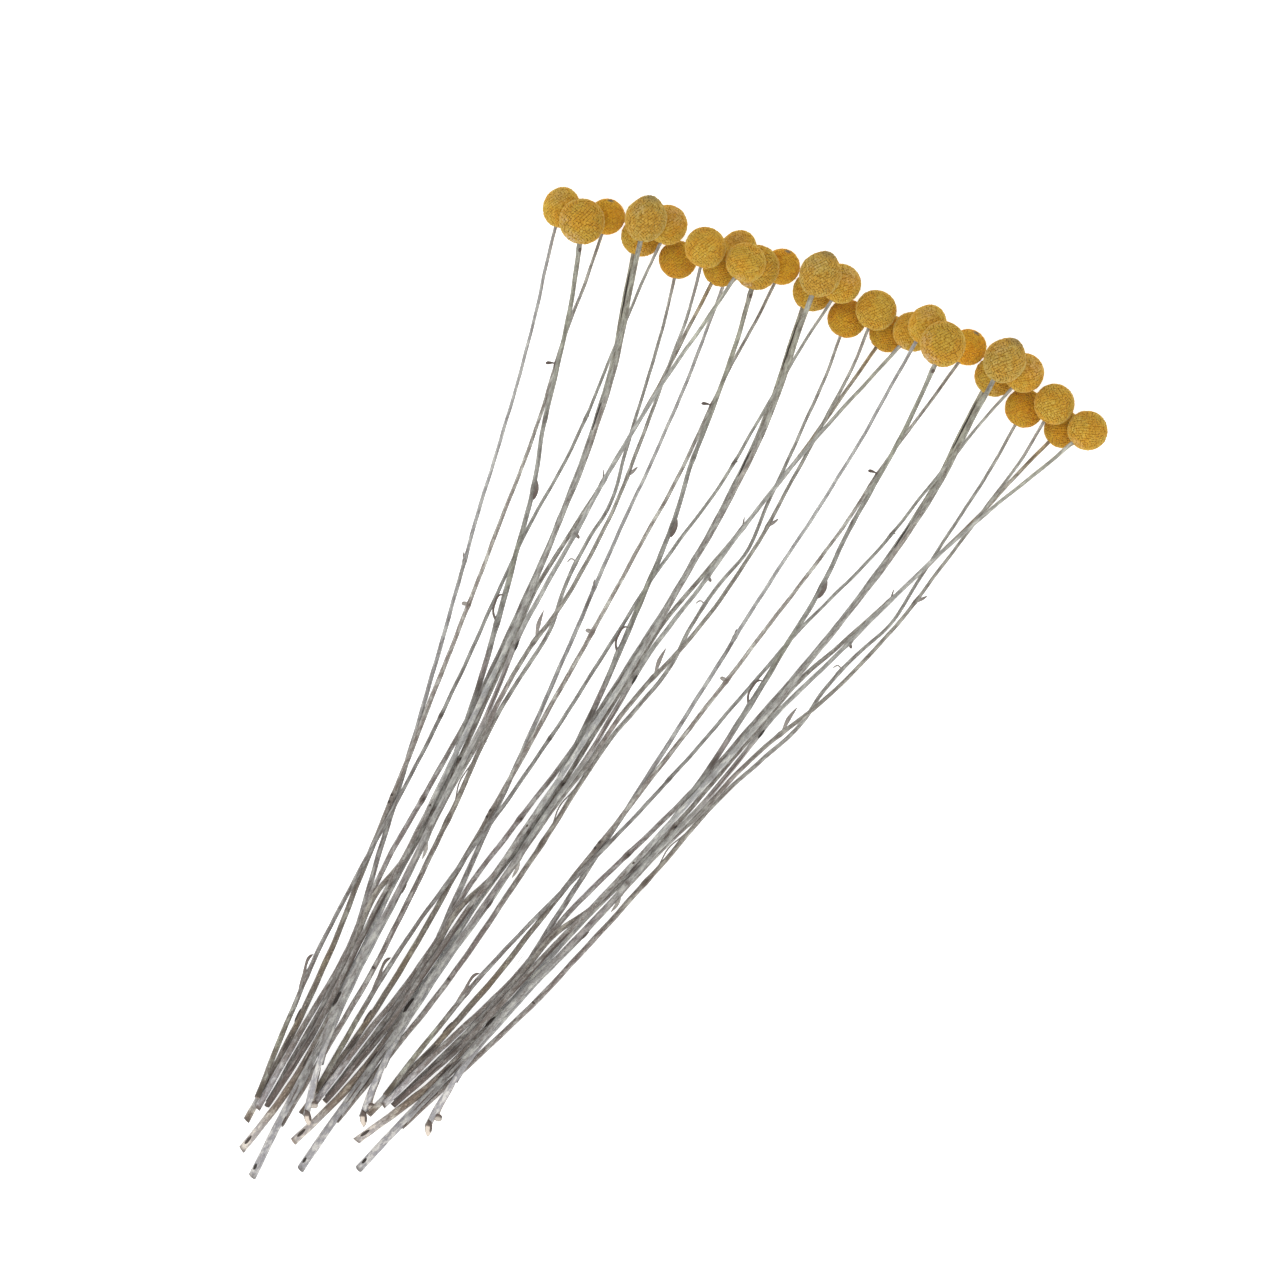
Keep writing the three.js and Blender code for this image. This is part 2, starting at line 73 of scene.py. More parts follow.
SWELLINGS = {  # place along the spray, height and half length of each swelling, all in mm
    "a": [(521.5, 0.4, 1.8), (330.0, 0.15, 5.0), (228.0, 0.15, 8.0)],
    "b": [(698.5, 0.35, 2.4), (608.3, 0.3, 3.0), (571.0, 0.3, 2.4), (497.0, 0.35, 3.0), (391.0, 0.35, 2.2)],
    "c": [(637.0, 0.25, 1.6), (500.0, 0.35, 2.0), (390.2, 0.25, 1.6), (386.3, 0.25, 1.6)],
    "d": [(394.5, 0.4, 2.2), (560.0, 0.2, 3.0), (300.0, 0.2, 4.0)],
    "e": [(455.0, 0.25, 3.0), (282.0, 0.2, 3.0)],
    "f": [(616.5, 0.3, 1.8), (439.8, 0.3, 2.2), (283.0, 0.4, 2.6)],
    "g": [(542.0, 0.3, 2.4), (389.0, 0.4, 3.4)],
    "h": [(596.5, 0.35, 2.2), (496.0, 0.4, 2.6), (375.0, 0.35, 2.4), (225.0, 0.45, 9.0)],
    "i": [(588.5, 0.5, 2.2), (421.6, 0.3, 1.8), (222.0, 0.3, 4.0)],
    "j": [(556.5, 0.4, 1.8), (489.5, 0.4, 2.6), (382.5, 0.3, 1.8), (230.0, 0.3, 6.0)],
}
DARK_SPOTS = {  # place along the spray, half length and depth of the brown of scars and worn places
    "a": [(521.5, 1.6, 0.5), (514.0, 6.0, 0.5), (220.0, 2.0, 0.3)],
    "b": [(608.3, 1.6, 0.4), (570.0, 3.0, 0.5), (462.0, 4.0, 0.7), (391.0, 1.6, 0.8)],
    "c": [(637.0, 2.0, 0.8), (500.0, 2.0, 0.5), (388.3, 3.0, 0.5)],
    "d": [(394.5, 1.8, 0.6)],
    "e": [(455.0, 2.4, 0.4), (215.0, 8.0, 0.4)],
    "f": [(616.9, 1.6, 0.6), (439.8, 1.8, 0.8), (217.0, 4.5, 0.95)],
    "g": [(389.0, 2.4, 0.5), (206.0, 1.6, 0.8)],
    "h": [(597.0, 1.8, 0.4), (344.0, 5.0, 0.5), (495.0, 2.4, 0.5)],
    "i": [(588.5, 1.6, 0.7), (421.6, 1.4, 0.7)],
    "j": [(556.9, 1.6, 0.5), (490.0, 2.6, 0.7), (382.5, 1.4, 0.7)],
}
TONES = {  # place along the spray, half length and how much lighter or darker the stem is there
    "a": [(600.0, 90.0, 0.22), (390.0, 40.0, -0.05)],
    "b": [(250.0, 60.0, -0.25), (480.0, 150.0, -0.28), (630.0, 60.0, -0.05)],
    "c": [(520.0, 110.0, 0.55), (240.0, 60.0, -0.08), (208.0, 5.0, 0.45)],
    "d": [(385.0, 55.0, 0.3), (220.0, 24.0, 0.35), (680.0, 50.0, 0.1)],
    "e": [(225.0, 45.0, -0.15), (450.0, 110.0, 0.15), (318.0, 24.0, -0.15), (254.0, 8.0, -0.3)],
    "f": [(690.0, 50.0, 0.1), (430.0, 110.0, -0.2), (640.0, 50.0, -0.08)],
    "g": [
        (690.0, 40.0, 0.1), (222.0, 18.0, 0.3), (272.0, 40.0, 0.2), (512.0, 50.0, 0.05), (640.0, 50.0, -0.06),
    ],
    "h": [(560.0, 120.0, -0.15), (230.0, 26.0, 0.2)],
    "i": [(320.0, 50.0, 0.3), (200.0, 34.0, 0.35)],
    "j": [
        (180.0, 20.0, 0.05), (240.0, 24.0, -0.25), (350.0, 22.0, -0.25), (462.0, 22.0, -0.28),
        (690.0, 60.0, 0.05),
    ],
}
OLIVE = (0.93, 0.95, 0.76)
MAUVE = (1.0, 0.88, 0.91)
TAN = (1.0, 0.83, 0.58)
PINKISH = (1.02, 0.93, 0.9)
LILAC = (0.99, 0.95, 1.0)
TINTS = {  # place along the spray, half length, colour and strength of the stem's changes of colour
    "a": [(235.0, 30.0, LILAC, 0.8), (390.0, 50.0, TAN, 0.12)],
    "b": [
        (530.0, 16.0, OLIVE, 0.6), (472.0, 8.0, MAUVE, 1.0), (340.0, 30.0, TAN, 0.35),
        (665.0, 45.0, OLIVE, 0.6),
    ],
    "c": [(295.0, 12.0, TAN, 0.6), (258.0, 6.0, TAN, 0.7), (300.0, 60.0, OLIVE, 0.5), (203.0, 5.0, TAN, 0.5)],
    "d": [(220.0, 24.0, LILAC, 0.8), (385.0, 40.0, LILAC, 0.9), (690.0, 60.0, OLIVE, 0.7)],
    "e": [(616.0, 14.0, PINKISH, 0.8), (690.0, 50.0, OLIVE, 0.6), (225.0, 20.0, MAUVE, 0.7)],
    "f": [(245.0, 20.0, OLIVE, 0.9), (217.0, 6.0, OLIVE, 0.8), (640.0, 80.0, OLIVE, 0.2)],
    "g": [(330.0, 30.0, MAUVE, 0.5), (400.0, 40.0, TAN, 0.3)],
    "h": [
        (702.0, 9.0, MAUVE, 0.4), (460.0, 12.0, MAUVE, 0.8), (560.0, 100.0, TAN, 0.2),
        (232.0, 26.0, LILAC, 0.8),
    ],
    "i": [
        (702.0, 16.0, TAN, 1.1), (640.0, 30.0, TAN, 0.6), (222.0, 16.0, TAN, 0.5),
        (190.0, 14.0, PINKISH, 1.0),
    ],
    "j": [
        (690.0, 30.0, OLIVE, 0.5), (190.0, 30.0, LILAC, 0.8), (462.0, 24.0, MAUVE, 0.9),
        (350.0, 22.0, MAUVE, 0.7),
    ],
}
FELT_LOOKS = {  # how brown, how pale and how cool the felt of a stem is
    "a": (0.1, 0.15, 0.9),
    "b": (0.25, 0.2, 0.15),
    "c": (0.5, 0.0, 0.1),
    "d": (0.3, 0.0, 0.35),
    "e": (0.35, 0.0, 0.2),
    "f": (0.2, 0.15, 0.3),
    "g": (0.3, 0.1, 0.2),
    "h": (0.4, 0.25, 0.1),
    "i": (0.5, 0.35, 0.0),
    "j": (0.1, 0.4, 0.3),
}
BLEACHED = {  # place along the spray, half length and strength of stretches bleached a pale lilac grey
    "a": [(232.0, 28.0, 0.55)],
    "c": [(208.5, 4.5, 0.7)],
    "d": [(218.0, 16.0, 0.4)],
    "e": [(450.0, 50.0, 0.5)],
    "h": [(230.0, 26.0, 1.0), (300.0, 40.0, 0.4)],
    "i": [(190.0, 13.0, 1.1), (315.0, 40.0, 0.8)],
    "j": [(182.0, 28.0, 1.0)],
}
BROWN_STEMS = "i"  # where more of the bark shows
WOOL = (0.38, 0.382, 0.338)
WOOL_SHADE = (0.165, 0.158, 0.138)
WOOL_LIGHT = (0.55, 0.55, 0.5)
COOL_WOOL = (0.36, 0.366, 0.386)
BARK = (0.085, 0.068, 0.055)
BARK_MAUVE = (0.185, 0.158, 0.148)
BARK_TAN = (0.22, 0.165, 0.11)
SPECK = (0.55, 0.47, 0.42)
SCAR = (0.05, 0.034, 0.022)
PITH = (0.36, 0.29, 0.24)
PITH_SHADE = (0.16, 0.12, 0.095)


def only(*objects):
    """Leaves just these objects selected, the first one active."""
    bpy.ops.object.select_all(action="DESELECT")
    for each in objects:
        each.select_set(True)
    bpy.context.view_layer.objects.active = objects[0]


def twin(piece, name):
    """A copy of a piece with its own mesh."""
    made = piece.copy()
    made.data = piece.data.copy()
    made.name = made.data.name = name
    bpy.context.collection.objects.link(made)
    return made


def corners(piece):
    """The places of a mesh's corners, one row each."""
    places = np.empty(len(piece.data.vertices) * 3, np.float32)
    piece.data.vertices.foreach_get("co", places)
    return places.reshape(-1, 3).astype(float)


def move_corners(piece, places):
    """Puts a mesh's corners at new places, one row each."""
    piece.data.vertices.foreach_set("co", places.astype(np.float32).ravel())
    piece.data.update()


def hump(station, place, half):
    """1 at a place along the stem, falling off smoothly to both sides with this half length."""
    return np.exp(-(((station - place) / half) ** 2))


def paint(piece, name, values):
    """Keeps values for a material on a mesh's corners: a vector for a pattern, a colour for marks."""
    kind, field = ("FLOAT_VECTOR", "vector") if values.shape[1] == 3 else ("FLOAT_COLOR", "color")
    layer = piece.data.attributes.get(name) or piece.data.attributes.new(name, kind, "POINT")
    layer.data.foreach_set(field, values.astype(np.float32).ravel())


def straight_rod(sides, lengths, *materials):
    """A rod of radius 1 from z 0 to 1: one circle drawn out in short lengths, closed at both ends."""
    bpy.ops.object.select_all(action="DESELECT")
    bpy.ops.mesh.primitive_circle_add(vertices=sides, radius=1.0, fill_type="NOTHING", location=(0, 0, 0))
    rod = bpy.context.object
    bpy.ops.object.mode_set(mode="EDIT")
    bpy.ops.mesh.select_all(action="SELECT")
    bpy.ops.mesh.extrude_repeat(steps=lengths, offset=(0, 0, 1 / lengths), scale_offset=1.0)
    bpy.ops.mesh.select_all(action="SELECT")
    bpy.ops.mesh.fill_holes(sides=0)
    bpy.ops.mesh.select_all(action="SELECT")
    bpy.ops.mesh.normals_make_consistent(inside=False)
    bpy.ops.object.mode_set(mode="OBJECT")
    bpy.ops.object.shade_smooth()
    for material in materials:
        rod.data.materials.append(material)
    return rod


def bend_along(piece, route):
    """Bends a straight piece, grown along Z, to follow a smooth line through the route's points."""
    bpy.ops.object.select_all(action="DESELECT")
    bpy.ops.curve.primitive_bezier_curve_add(radius=1.0, location=(0, 0, 0))
    line = bpy.context.object
    line.data.resolution_u = 16
    line.data.twist_mode = "Z_UP"
    knots = line.data.splines[0].bezier_points
    knots.add(len(route) - 2)
    for knot, place in zip(knots, route):
        knot.handle_left_type = knot.handle_right_type = "AUTO"
        knot.co = place
        knot.radius = 1.0
    line.data.update_tag()
    bpy.context.view_layer.update()
    only(piece)
    bend = piece.modifiers.new("bend", "CURVE")
    bend.object = line
    bend.deform_axis = "POS_Z"
    bpy.ops.object.modifier_apply(modifier="bend")
    bpy.data.objects.remove(line)


def spray_station(spray, point):
    """How far along its spray a point of the bunch lies, in mm from the meeting point."""
    turn, shift_x, shift_y = SPRAYS[spray]
    turn = math.radians(turn)
    dx = point[0] / MM - MEETING_POINT[0] - shift_x
    dy = point[1] / MM - MEETING_POINT[1] - shift_y
    return dx * math.sin(turn) + dy * math.cos(turn)


def stem_rings(key):
    """The five-cornered rings of a stem's solid, foot first: station, middle and radius of each."""
    unique = {tuple(round(c, 7) for c in v.co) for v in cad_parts["stem_" + key].data.vertices}
    points = sorted((spray_station(key[0], p), p) for p in unique)
    rings, level = [], []
    for station, point in points + [(math.inf, None)]:
        if level and station - level[0][0] > SOLID_RING:
            if len(level) == SOLID_SIDES:
                middle = sum((Vector(p) for _, p in level), Vector()) / SOLID_SIDES
                heights = [p[2] for _, p in level]
                radius = (max(heights) - min(heights)) / (1 + math.cos(math.pi / SOLID_SIDES))
                rings.append((level[0][0], middle, radius))
            level = []
        level.append((station, point))
    return rings


class Shade:
    """A socket of a material's nodes. Sums and products of it add Math nodes."""

    def __init__(self, tree, socket=None):
        self.tree, self.socket = tree, socket

    def node(self, kind, settings, sockets, out=0):
        made = self.tree.nodes.new(kind)
        for name, value in settings.items():
            setattr(made, name, value)
        for name, value in sockets.items():
            if isinstance(value, Shade):
                self.tree.links.new(value.socket, made.inputs[name])
            else:
                made.inputs[name].default_value = value
        return Shade(self.tree, made.outputs[out])

    def maths(self, operation, first, second=0.0):
        return self.node("ShaderNodeMath", {"operation": operation}, {0: first, 1: second})

    def __add__(self, other):
        return self.maths("ADD", self, other)

    def __radd__(self, other):
        return self.maths("ADD", other, self)

    def __sub__(self, other):
        return self.maths("SUBTRACT", self, other)

    def __rsub__(self, other):
        return self.maths("SUBTRACT", other, self)

    def __mul__(self, other):
        return self.maths("MULTIPLY", self, other)

    def __rmul__(self, other):
        return self.maths("MULTIPLY", other, self)

    def clipped(self):
        return self.node("ShaderNodeClamp", {}, {"Value": self})

    def between(self, low, high):
        """0 below low, 1 above high and a smooth rise in between."""
        return self.node(
            "ShaderNodeMapRange", {"interpolation_type": "SMOOTHSTEP"},
            {"Value": self, "From Min": low, "From Max": high},
        )

    def mix(self, first, second):
        """From the first colour to the second as this value goes from 0 to 1."""
        ends = [c if isinstance(c, Shade) else (*c, 1.0) for c in (first, second)]
        return self.node("ShaderNodeMix", {"data_type": "RGBA"}, {0: self, 6: ends[0], 7: ends[1]}, out=2)

    def times(self, colour):
        """This colour multiplied by another one."""
        return self.node(
            "ShaderNodeMix", {"data_type": "RGBA", "blend_type": "MULTIPLY"},
            {0: 1.0, 6: self, 7: colour}, out=2,
        )

    def noise(self, where, scale, detail=3.0, roughness=0.6):
        return self.node(
            "ShaderNodeTexNoise", {},
            {"Vector": where, "Scale": scale, "Detail": detail, "Roughness": roughness},
        )

    def stretched(self, factors):
        return self.node("ShaderNodeMapping", {}, {"Vector": self, "Scale": factors})

    def channel(self, number):
        return self.node("ShaderNodeSeparateColor", {}, {"Color": self}, out=number)

    def painted(self, name, out=0):
        """What was painted on the mesh under a name: the colour, with out 1 the vector, with 3 the alpha."""
        return self.node("ShaderNodeAttribute", {"attribute_name": name}, {}, out=out)

    def coordinates(self):
        """The place on the piece, in metres."""
        return self.node("ShaderNodeTexCoord", {}, {}, out=3)

    def relief(self, strength, distance):
        """A fine relief of this height, in metres."""
        return self.node("ShaderNodeBump", {}, {"Strength": strength, "Distance": distance, "Height": self})

    def feed(self, shader, name):
        """Links this value to one of the shader's inputs."""
        self.tree.links.new(self.socket, shader.inputs[name])


def new_material(name, roughness):
    """A material with its shader, and a wrapped start for its patterns."""
    made = bpy.data.materials.new(name)
    made.use_nodes = True
    shader = made.node_tree.nodes["Principled BSDF"]
    shader.inputs["Roughness"].default_value = roughness
    return made, shader, Shade(made.node_tree)


def stem_material(name, browner):
    """Ribbed bark under grey felt: streaks run along the stem, felt thins out in patches."""
    made, shader, start = new_material(name, 0.92)
    shader.inputs["Sheen Weight"].default_value = 0.25
    shader.inputs["Sheen Roughness"].default_value = 0.6
    grain, marks, cool = start.painted("grain", 1), start.painted("marks"), start.painted("marks", 3)
    dark, brown, pale = marks.channel(0), marks.channel(1), marks.channel(2)
    streaks = start.noise(grain.stretched((1.7, 1.7, 0.09)), scale=2.0, detail=5.0, roughness=0.65)
    patches = start.noise(grain.stretched((0.5, 0.5, 0.11)), scale=1.5, detail=5.0, roughness=0.7)
    fuzz = start.noise(grain.stretched((3.0, 3.0, 1.2)), scale=5.0, detail=5.0, roughness=0.7)
    fibres = start.noise(grain.stretched((5.0, 5.0, 0.35)), scale=3.0, detail=4.0, roughness=0.65)
    specks = start.noise(grain.stretched((1.4, 1.4, 0.8)), scale=1.6, detail=2.0)
    bark = streaks.between(0.38, 0.62).mix(BARK, BARK_MAUVE)
    wool = (fibres * 0.6 + fuzz * 0.4).between(0.36, 0.62).mix(WOOL_SHADE, cool.mix(WOOL, COOL_WOOL))
    wool = (patches.between(0.45, 0.7) * (0.4 + pale)).clipped().mix(wool, WOOL_LIGHT)
    thinned = brown * (0.6 + browner) + dark * 0.5 + 1.38
    felt = (patches * 2.9 + fibres + pale * 0.6 - thinned).clipped()
    colour = felt.between(0.0, 0.8).mix(bark, wool)
    colour = (brown * 0.16 + browner * 0.2).clipped().mix(colour, BARK_TAN)
    colour = (specks.between(0.6, 0.68) * (0.45 + brown * 0.5)).mix(colour, SCAR)
    colour = ((1 - specks.between(0.3, 0.38)) * (0.5 + brown * 0.5)).mix(colour, SPECK)
    colour = (dark * (0.55 + streaks * 0.6)).clipped().mix(colour, SCAR)
    colour.times(start.painted("tint")).feed(shader, "Base Color")
    (0.8 + 0.18 * felt).feed(shader, "Roughness")
    (fuzz * 0.7 + fibres * 0.8 + streaks * 0.5).relief(0.7, 0.00022).feed(shader, "Normal")
    return made


grey_stem = stem_material("stem_grey_wool", 0.0)
brown_stem = stem_material("stem_brown_bark", 0.25)

pith, pith_shader, pith_start = new_material("cut_pith", 0.95)
pith_cells = pith_start.noise(pith_start.coordinates(), scale=2600.0, detail=4.0, roughness=0.7)
pith_cells.between(0.3, 0.7).mix(PITH_SHADE, PITH).feed(pith_shader, "Base Color")

# Every stem is bent from the same straight rod, whose foot shows the pith
stem_rod = straight_rod(2 * RIBS, STEM_LENGTHS, grey_stem, pith)
for face in stem_rod.data.polygons:
    if face.center.z < 1e-4:
        face.material_index = 1
        face.use_smooth = False

rod_places = corners(stem_rod)
share = np.clip(rod_places[:, 2], 0, 1)  # of the stem's length, from the foot up
angle = np.arctan2(rod_places[:, 1], rod_places[:, 0])
stem_lines, stems = {}, {}
for spray in SPRAYS:
    for letter in LETTERS:
        key = spray + letter
        dice = random.Random("stem " + key)
        stations, middles, radii = (list(column) for column in zip(*stem_rings(key)))
        stem_lines[key] = (stations, middles, radii)
        route = middles + [middles[-1] + (middles[-1] - middles[-2]).normalized() * INTO_HEAD * MM]
        steps = [0.0]
        for a, b in zip(route, route[1:]):
            steps.append(steps[-1] + (b - a).length)
        along = share * steps[-1]
        station = np.interp(along, steps[:-1], stations)

        twist = dice.uniform(0.5, 2.0) * share + dice.uniform(0, 6)
        ribs = 1 + RIB_DEPTH * np.cos(RIBS * angle) * (1 + 0.4 * np.sin(9 * share + twist))
        growth = np.ones_like(along)
        for wave in range(WAVES):
            turns = dice.uniform(0.3, 1) * WAVE_TURNS * WAVE_QUICKENS ** (wave % 5)
            growth += WAVE_DEPTH * np.sin(turns * share * 6.283 + dice.uniform(0, 6) + (wave % 3) * angle)
        radius = (np.interp(along, steps, radii + radii[-1:]) + FELT_DEPTH * MM) * ribs * growth
        for place, height, half in SWELLINGS[letter]:
            radius += height * MM * hump(station, place, half) * (0.75 + 0.25 * np.cos(angle + place))
        sway = sum(width * np.sin(share * pace + turned * twist) for width, pace, turned in SWAYS)
        slant = (share < 1e-4) * np.cos(angle + dice.uniform(0, 6)) * radius * CUT_SLANT
        stem = twin(stem_rod, "woolly_stem_" + key)
        move_corners(stem, np.stack([
            radius * np.cos(angle + twist * 0.15) + sway * MM,
            radius * np.sin(angle + twist * 0.15),
            along + slant,
        ], -1))

        # The pattern follows the stem: round it, and along it in mm
        grain_start = 700 * dice.random()
        paint(stem, "grain", np.stack([np.cos(angle), np.sin(angle), along / MM + grain_start], -1))
        dark = 0.8 * hump(along / MM, 0, CUT_BROWN)
        for place, half, depth in DARK_SPOTS[letter]:
            dark = np.maximum(dark, depth * hump(station, place, half))
        worn = np.clip(1.0 - share * 1.6, 0, 1)
        pale_places = BLEACHED.get(letter, [])
        bleached = sum(amount * hump(station, place, half) for place, half, amount in pale_places)
        brown, pale, cool = FELT_LOOKS[letter]
        paint(stem, "marks", np.stack([
            dark,
            np.clip(brown + 0.45 * worn - bleached, 0, 1),
            np.clip(pale + 0.35 * share + 1.4 * bleached, 0, 1.6),
            np.clip(cool + 0.6 * worn + bleached, 0, 1),
        ], -1))
        light = 1 + sum(amount * hump(station, place, half) for place, half, amount in TONES[letter])
        tint = np.column_stack([light, light, light, np.ones_like(light)])
        for place, half, colour, strength in TINTS[letter]:
            tint[:, :3] *= 1 - strength * hump(station, place, half)[:, None] * (1 - np.array(colour))
        paint(stem, "tint", tint)
        bend_along(stem, route)
        if letter in BROWN_STEMS:
            stem.data.materials[0] = brown_stem
        stems[key] = stem
bpy.data.objects.remove(stem_rod)

# Bracts, scars, shadow lines and wisps: the small dried leaves that stayed on the stems, papery, cupped and
# curled, grey or burnt brown, with a few cream buds at the feet, then scars, dark lines of painted shadow in
# the gaps between stems and along their shaded sides, and fine hairs pulled loose from the felt. Each grows
# from the side of its stem and belongs to the stem's own piece.

SPRAY_LINE = 109.1  # where the line through the meeting point lies in places given across a spray, mm
# A bract: its stem, its root, points out to the tip as across, along and lift, half widths from root to tip,
# half thickness, and how brown it is, or below 0 how cream a bud it is
BRACTS = [
    ("c", 637.4, [(-20.0, 636.1, 0.3), (-21.5, 635.2, 0.5)], [0.4, 0.4, 0.7, 0.95, 0.6], 0.8, 1.0),
    ("b", 576.5, [(-0.6, 572.0, 0.6), (0.5, 565.0, 0.8)], [0.6, 1.1, 1.35, 1.2, 0.6], 0.4, 0.75),
    ("c", 500.2, [(-12.5, 499.8, 0.3), (-14.1, 499.2, 0.4)], [0.8, 1.1, 1.2, 1.1, 0.6], 0.8, 0.15),
    ("i", 589.0, [(30.0, 591.8, 0.5), (29.0, 594.6, 0.8)], [0.6, 0.5, 0.4, 0.15], 0.4, 0.5),
    ("h", 595.5, [(43.9, 599.3, 0.5), (45.5, 603.0, 0.8)], [0.4, 0.7, 0.9, 0.7, 0.1], 0.22, 0.45),
    ("j", 557.0, [(29.7, 556.2, 0.2), (31.1, 555.2, 0.3)], [0.8, 0.9, 0.9, 0.5], 0.7, 0.6),
    ("g", 542.6, [(31.4, 543.8, 0.4), (29.7, 540.8, 0.7)], [0.5, 0.4, 0.4, 0.3], 0.35, 0.2),
    ("h", 496.5, [(28.4, 504.6, 0.6), (28.1, 513.2, 0.8)], [0.6, 0.9, 1.25, 0.8, 0.1], 0.3, 0.4),
    (
        "b", 497.0, [(3.7, 501.0, 1.0), (2.5, 506.0, 1.8), (3.2, 511.3, 2.4), (5.6, 512.0, 3.2)],
        [0.8, 0.7, 0.6, 0.6, 0.65, 0.6, 0.4], 0.5, 0.85,
    ),
    ("h", 376.0, [(18.5, 370.5, 0.5), (18.7, 364.4, 0.6)], [0.4, 0.9, 1.05, 0.8, 0.15], 0.25, 0.05),
    (
        "f", 273.0, [(-15.5, 281.0, 0.6), (-17.3, 288.5, 1.0), (-17.3, 293.0, 1.6), (-15.8, 295.5, 2.4)],
        [0.8, 1.5, 1.6, 1.0, 0.7, 0.9, 0.9], 0.4, 0.6,
    ),
    ("a", 220.8, [(15.6, 220.6, 0.8), (17.6, 221.8, 1.2)], [1.0, 1.2, 1.3, 1.0], 1.0, -0.6),
    (
        "a", 219.5, [(13.4, 216.5, 2.0), (14.9, 213.5, 1.8), (17.4, 209.4, 0.6)],
        [0.6, 0.9, 1.5, 1.9, 1.8, 1.2, 0.3], 1.2, -1.0,
    ),
]
SMALL_BRACTS = [  # the same for those too small for the solids
    ("a", 521.0, [(-22.7, 523.0, 0.2), (-23.5, 525.6, 0.3)], [0.4, 0.5, 0.45, 0.1], 0.3, 0.5),
    ("f", 616.0, [(10.3, 617.2, 0.4), (11.2, 618.4, 0.5)], [0.3, 0.35, 0.3, 0.1], 0.3, 0.9),
    (
        "h", 218.5, [(13.3, 216.0, 1.4), (14.9, 213.2, 1.2), (17.3, 209.4, -1.0)],
        [0.6, 1.1, 1.7, 2.0, 1.8, 1.2, 0.3], 1.0, -1.0,
    ),
    (
        "h", 221.5, [(14.6, 220.6, 0.8), (16.2, 221.0, 0.8), (17.5, 221.4, 0.4)],
        [0.9, 1.2, 1.6, 1.5, 0.9], 1.0, -0.4,
    ),
    (
        "h", 217.5, [(12.6, 216.3, 2.6), (14.2, 215.9, 2.6), (15.6, 214.4, 2.2), (16.8, 212.0, 1.2)],
        [0.9, 0.7, 0.5], 0.6, 1.0,
    ),
    (
        "h", 221.0, [(13.8, 221.8, 1.8), (15.4, 222.6, 1.6), (17.0, 222.0, 1.0)],
        [0.7, 0.6, 0.6, 0.5], 0.5, 1.0,
    ),
    (
        "g", 428.0, [(22.9, 419.0, 0.5), (21.4, 410.5, 0.8), (22.6, 403.0, 0.6), (24.0, 397.0, 0.3)],
        [0.35, 0.4, 0.35], 0.35, 0.5,
    ),
]
# Some of these are no scars but dark lines of painted shadow, in the gaps between stems and on d's shaded
# side
SCARS_AND_SHADOW_LINES = [  # stem, place across and along, half width and half length of scars and painted shadow lines, how black
    ("j", 22.0, 489.5, 0.7, 2.8, 1.0),
    ("c", -9.4, 390.2, 0.85, 0.9, 0.7),
    ("c", -9.4, 386.3, 0.85, 0.9, 0.7),
    ("d", 7.0, 394.5, 0.8, 0.9, 0.4),
    ("i", 31.0, 588.0, 0.7, 1.0, 0.3),
    ("i", 17.3, 422.0, 0.7, 1.0, 0.7),
    ("i", 14.4, 390.2, 0.8, 1.2, 0.7),
    ("e", 11.6, 393.0, 0.6, 0.8, 0.5),
    ("i", 5.3, 278.0, 1.3, 5.0, 0.8),
    ("i", -10.2, 190.0, 0.9, 2.9, 0.6),
    ("j", -1.2, 178.3, 0.9, 1.9, 1.0),
    ("b", -27.5, 698.2, 0.9, 1.2, 0.0),
    ("d", 3.9, 686.0, 0.45, 15.0, 1.0),
    ("d", 12.9, 646.0, 0.4, 11.0, 0.8),
    ("d", 14.7, 619.0, 0.45, 8.0, 0.9),
    ("e", 6.9, 331.0, 0.7, 12.0, 0.5),
    ("e", 5.0, 303.0, 0.55, 20.0, 0.3),
    ("j", 15.8, 346.5, 0.5, 3.0, 0.3),
    ("j", 21.6, 462.0, 0.35, 18.0, 0.1),
    ("g", 16.6, 301.0, 1.1, 0.7, 0.5),
    ("e", -0.6, 254.0, 0.5, 7.0, 0.6),
    ("j", 6.3, 246.0, 0.5, 6.0, 0.5),
    ("j", 3.4, 207.0, 0.6, 2.6, 0.4),
    ("d", -10.6, 246.0, 0.6, 5.0, 0.6),
    ("e", -2.6, 238.0, 0.4, 9.0, 0.5),
    ("i", 2.4, 243.0, 0.5, 6.0, 0.6),
    ("j", 4.6, 249.0, 0.5, 5.0, 0.7),
    ("c", -11.2, 262.0, 0.5, 4.0, 0.5),
    ("g", 6.2, 228.0, 0.35, 12.0, 0.3),
    ("j", 3.4, 224.0, 0.35, 9.0, 0.2),
    ("h", 12.6, 220.4, 0.8, 1.8, 0.2),
]
WISPS = [  # stem and points of loose hairs, across, along and lift
    ("d", [
        (-0.2, 323.0, 0.9), (-2.9, 321.0, 1.2), (-3.5, 315.0, 1.3), (-2.8, 310.0, 1.2), (-1.0, 307.5, 0.9),
    ]),
    ("g", [(25.4, 434.6, 0.6), (27.0, 436.4, 0.9), (28.9, 438.2, 1.0)]),
    ("a", [(-18.9, 505.2, 0.2), (-16.6, 503.8, 0.5), (-15.0, 502.4, 0.6)]),
]
BRACT_SIDES = 8
BRACT_LENGTHS = 14
ROUND_TIP = 0.86  # where the rounding of a bract's tip starts, as a share of its length
CUP = 0.45  # how far a thin bract's edges turn up, as a share of its half width
CRIMP = 0.1  # how high its crimps are, as a share of its half thickness
SCAR_OR_SHADOW_RISE = 0.3  # how far a scar or painted shadow line stands out, mm
SCAR_OR_SHADOW_SINK = 0.08  # how deep its middle lies in the felt, mm
SCAR_OR_SHADOW_SWOLLEN = 0.9  # how much of a swelling's height lifts a scar or shadow line on it
WISP_THICK = 0.13  # radius of a hair, mm
